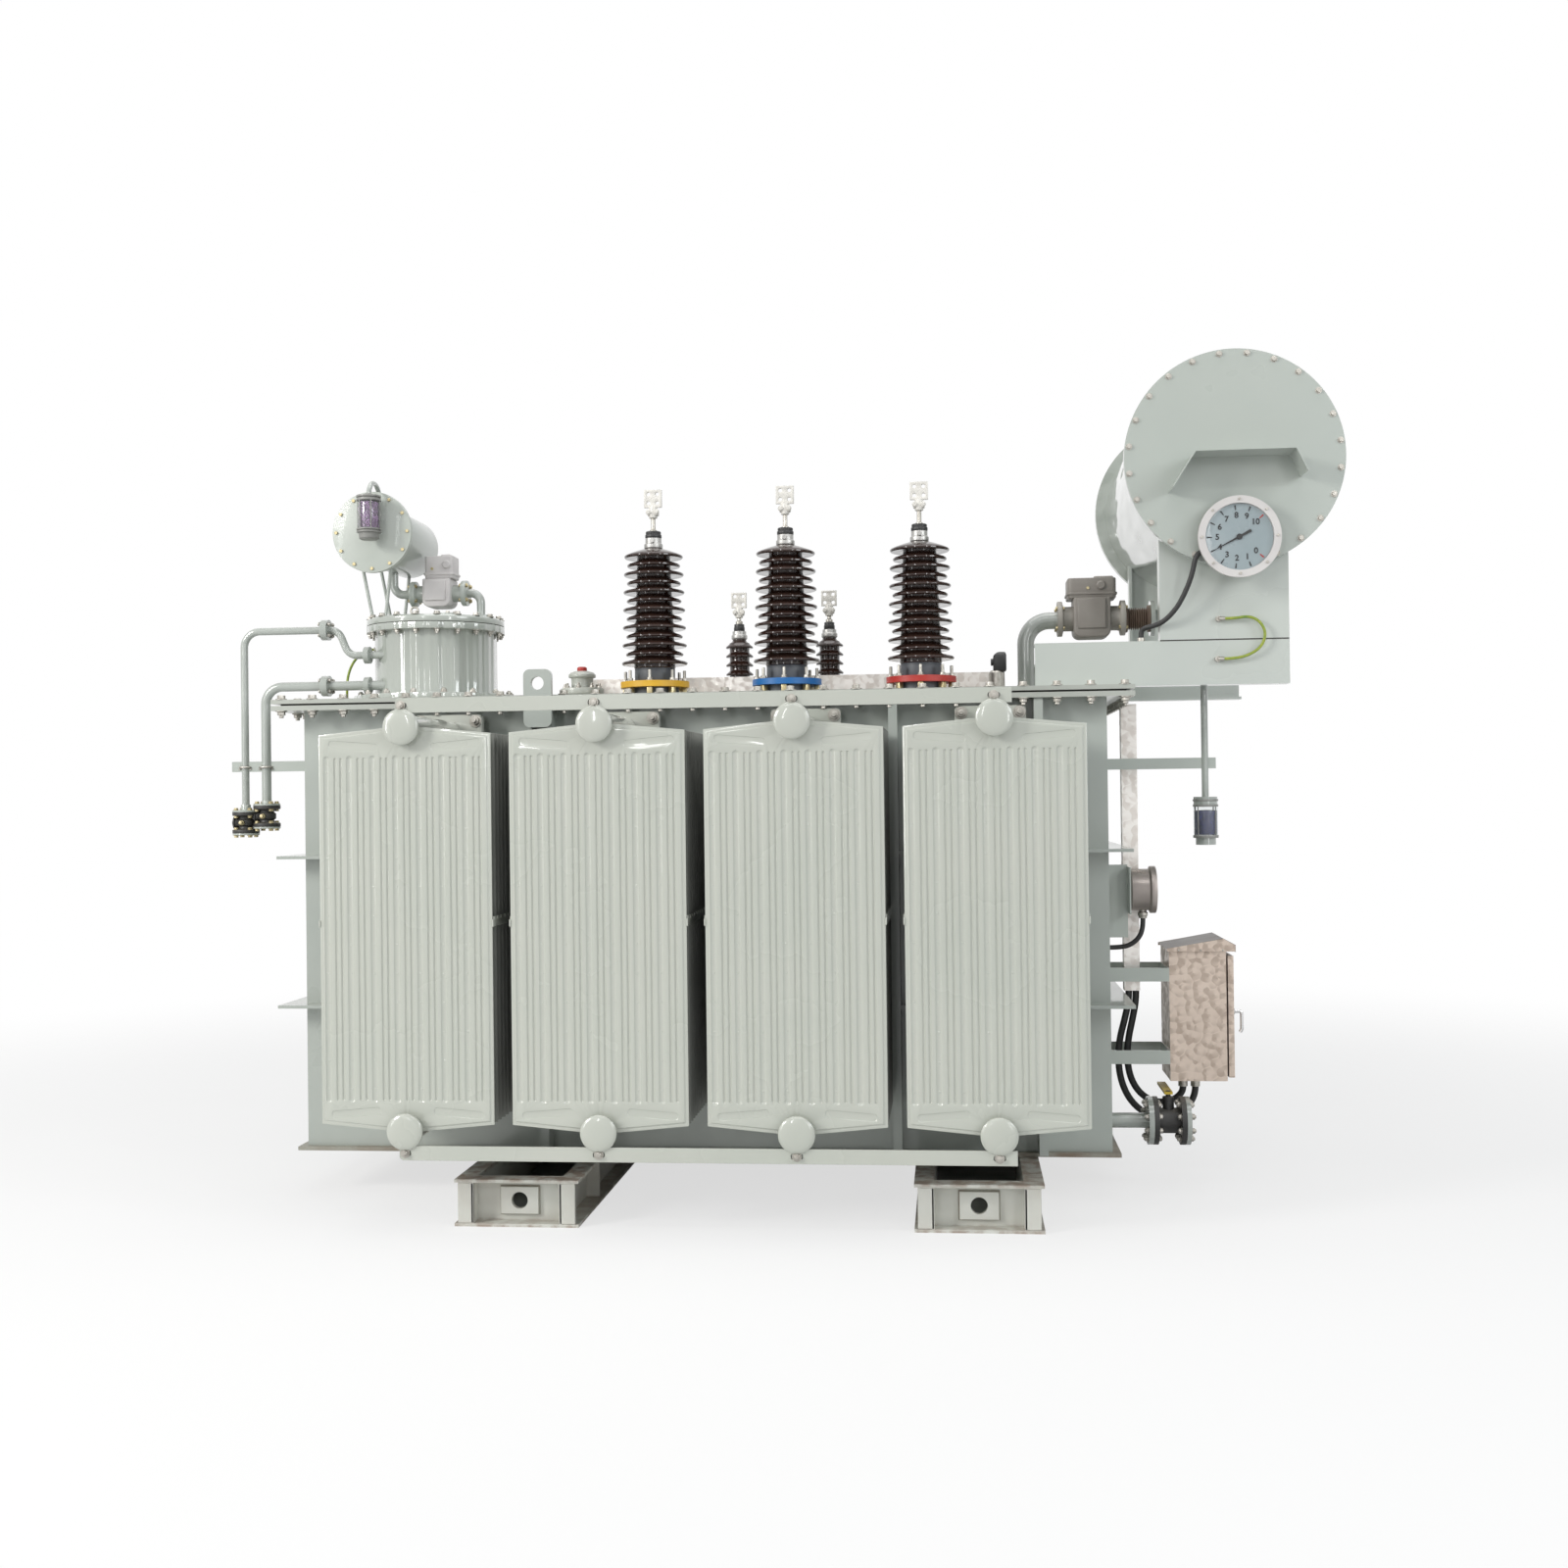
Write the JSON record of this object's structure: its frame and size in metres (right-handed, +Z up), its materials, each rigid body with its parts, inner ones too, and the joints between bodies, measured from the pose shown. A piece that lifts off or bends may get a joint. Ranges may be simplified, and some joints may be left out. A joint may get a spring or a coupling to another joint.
{
  "type": "power transformer",
  "caption": "Oil-immersed power transformer with plate radiators on both long sides, tap changer, conservator, bushings and control cabinet.",
  "frame": {"origin": "on the ground under the middle of the whole outline", "axes": "+X along the tank from the tap changer to the conservator, +Y from the high-voltage side to the low-voltage side, +Z up"},
  "size_m": [3.721, 2.09, 2.635],
  "materials": {
    "tank_paint": "pale grey-green gloss paint",
    "radiator_paint": "pale grey-green gloss paint",
    "gasket_rubber": "black oil-proof rubber",
    "brown_porcelain": "dark brown glaze",
    "yellow_paint": "yellow phase paint",
    "blue_paint": "blue phase paint",
    "red_paint": "red phase paint",
    "tinned_metal": "tinned terminal metal",
    "zinc_steel": "zinc plated steel",
    "warm_casting": "warm grey painted casting",
    "lilac_casting": "lilac grey painted casting",
    "purple_gel": "clear jar filled with purple drying gel",
    "blue_gel": "clear jar filled with dark blue drying gel",
    "gauge_white": "white enamel case",
    "brown_bellows": "brown painted metal bellows",
    "grey_case": "grey instrument case",
    "turned_stainless": "engine-turned stainless sheet",
    "chrome_handle": "chromed handle",
    "black_iron": "black painted cast iron",
    "dark_foot": "dark slate painted foot",
    "black_cable": "black cable sheath",
    "bond_wire": "yellow and green bonding wire",
    "yellow_lever": "yellow dipped lever"
  },
  "bodies": {
    "transformer": {"tank_walls": "tank_paint", "tank_bottom": "tank_paint", "tank_rim": "tank_paint", "tank_gasket": "gasket_rubber", "tank_cover": "tank_paint", "tank_ribs": "tank_paint", "lifting_lugs": "tank_paint", "skid_channels": "tank_paint", "skid_ends": "tank_paint", "radiator_plates_front": "radiator_paint", "radiator_plates_back": "radiator_paint", "radiator_headers_front": "radiator_paint", "radiator_headers_back": "radiator_paint", "radiator_ties": "radiator_paint", "hv_porcelain": "brown_porcelain", "hv_ring_left": "yellow_paint", "hv_ring_middle": "blue_paint", "hv_ring_right": "red_paint", "hv_terminals": "tinned_metal", "lv_porcelain": "brown_porcelain", "bushing_feet": "dark_foot", "lv_terminals": "tinned_metal", "oltc_drum": "warm_casting", "oltc_cover": "warm_casting", "small_conservator": "tank_paint", "small_relay": "lilac_casting", "small_pipes": "tank_paint", "small_breather": "purple_gel", "relief_valve": "warm_casting", "conservator_shell": "tank_paint", "conservator_ends": "tank_paint", "conservator_frame": "tank_paint", "gauge_case": "gauge_white", "rain_visor": "tank_paint", "main_relay": "warm_casting", "main_bellows": "brown_bellows", "main_pipes": "tank_paint", "breather_pipe": "tank_paint", "breather_glass": "blue_gel", "thermometer": "grey_case", "cabinet_body": "turned_stainless", "cabinet_roof": "turned_stainless", "drain_pipe": "tank_paint", "drain_valve": "black_iron", "oil_pipes": "tank_paint", "oil_valves": "black_iron", "wall_brackets": "tank_paint", "cable_ducts": "turned_stainless", "cover_pocket": "grey_case", "cable_fittings": "zinc_steel", "gauge_cable": "black_cable", "thermometer_cable": "black_cable", "cabinet_cable_outer": "black_cable", "cabinet_cable_inner": "black_cable", "conservator_bond": "bond_wire", "head_bond": "bond_wire"},
    "cabinet_door": {"cabinet_door": "turned_stainless"},
    "cabinet_handle": {"cabinet_handle": "chrome_handle"},
    "drain_lever": {"drain_lever": "yellow_lever"}
  },
  "joints": [
    {"name": "door_hinge", "type": "hinge", "parent": "transformer", "child": "cabinet_door", "pos_m": [1.533, -0.07, 0], "axis": [0, 0, 1], "range_deg": [0, 110]},
    {"name": "handle_turn", "type": "hinge", "parent": "cabinet_door", "child": "cabinet_handle", "pos_m": [1.528, -0.262, 0.56], "axis": [1, 0, 0], "range_deg": [0, 90]},
    {"name": "drain_turn", "type": "hinge", "parent": "transformer", "child": "drain_lever", "pos_m": [1.328, -0.35, 0.308], "axis": [0, 0, 1], "range_deg": [0, 90]}
  ]
}
